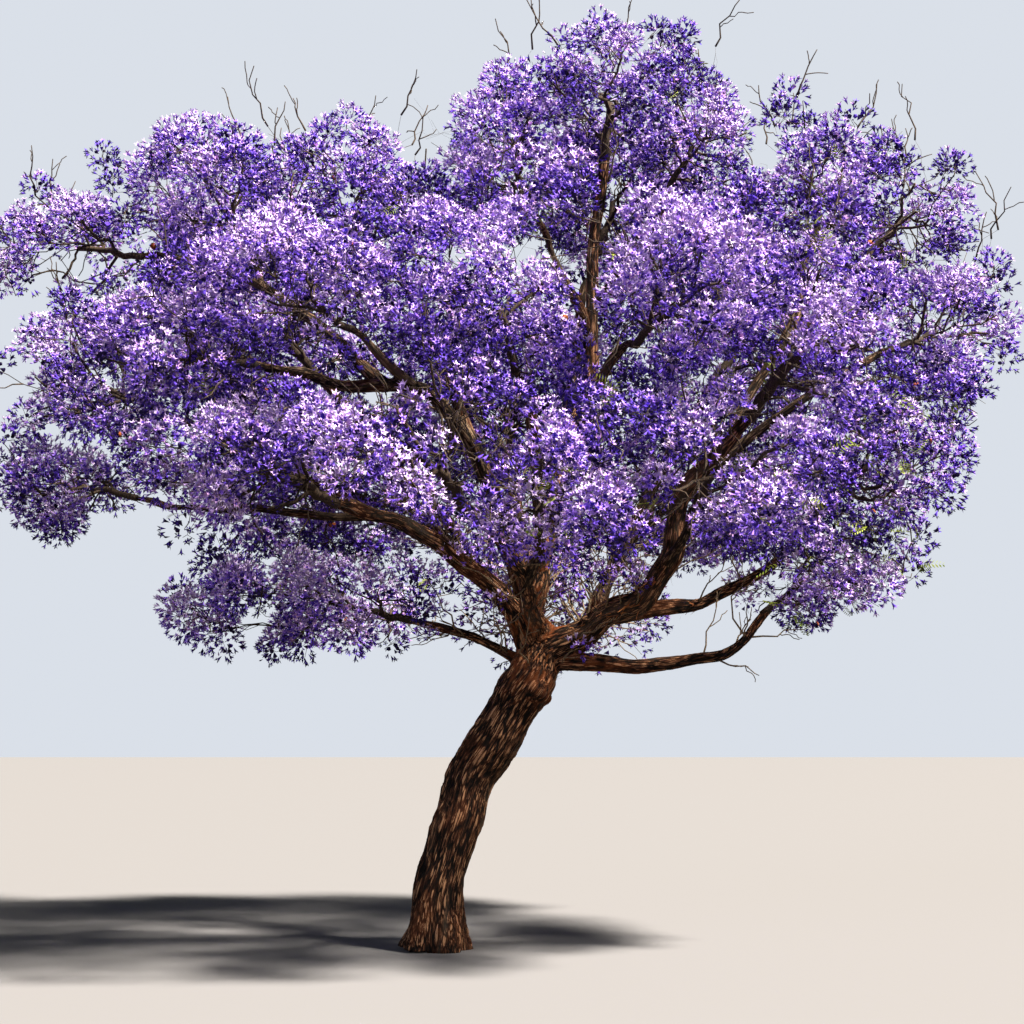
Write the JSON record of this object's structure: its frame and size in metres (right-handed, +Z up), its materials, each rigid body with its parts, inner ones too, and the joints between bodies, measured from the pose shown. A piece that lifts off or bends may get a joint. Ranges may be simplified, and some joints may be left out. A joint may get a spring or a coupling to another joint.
{
  "type": "jacaranda tree",
  "caption": "Broad flowering tree with a leaning trunk, spreading boughs and a rounded open crown of violet blossom, rooted in the ground.",
  "frame": {"origin": "middle of the flat cut under the trunk, at ground level", "axes": "+Z up along the way the tree grows, +X to the side the trunk leans to, +Y away from the side seen in the picture"},
  "size_m": [9.3606, 7.2534, 8.3371],
  "materials": {
    "bark": "rough dark brown bark with upright fissures and paler flakes",
    "blossom": "soft matt violet petals in sprays on thin brown twigs"
  },
  "bodies": {
    "root": {"trunk": "bark", "left_limb": "bark", "left_under_limb": "bark", "centre_limb": "bark", "right_limb": "bark", "low_right_limb": "bark", "lowest_right_limb": "bark", "front_limb": "bark", "front_right_bough": "bark", "back_left_limb": "bark", "back_low_left_bough": "bark", "back_middle_limb": "bark", "back_right_limb": "bark", "back_low_right_bough": "bark", "upper_left_limb": "bark", "left_front_bough": "bark", "left_top_bough": "bark", "far_left_bough": "bark", "left_upper_bough": "bark", "left_mid_bough": "bark", "left_low_bough": "bark", "middle_bough": "bark", "cross_bough": "bark", "top_back_bough": "bark", "top_left_bough": "bark", "top_right_bough": "bark", "right_front_bough": "bark", "right_top_bough": "bark", "right_shoulder_bough": "bark", "right_far_bough": "bark", "left_front_low": "blossom", "left_skirt": "blossom", "crown_top": "blossom", "right_mid": "blossom", "right_low": "blossom", "right_skirt": "blossom", "middle_front": "blossom", "centre_front": "blossom", "back_left": "blossom", "back_low_left": "blossom", "back_middle": "blossom", "back_right": "blossom", "back_low_right": "blossom", "left_front": "blossom", "left_front_high": "blossom", "left_top": "blossom", "left_tip": "blossom", "left_upper": "blossom", "left_mid": "blossom", "left_low": "blossom", "middle_high": "blossom", "right_front_high": "blossom", "top_back": "blossom", "top_left": "blossom", "top_right": "blossom", "right_front": "blossom", "right_top": "blossom", "right_shoulder": "blossom", "right_far": "blossom"}
  },
  "joints": []
}
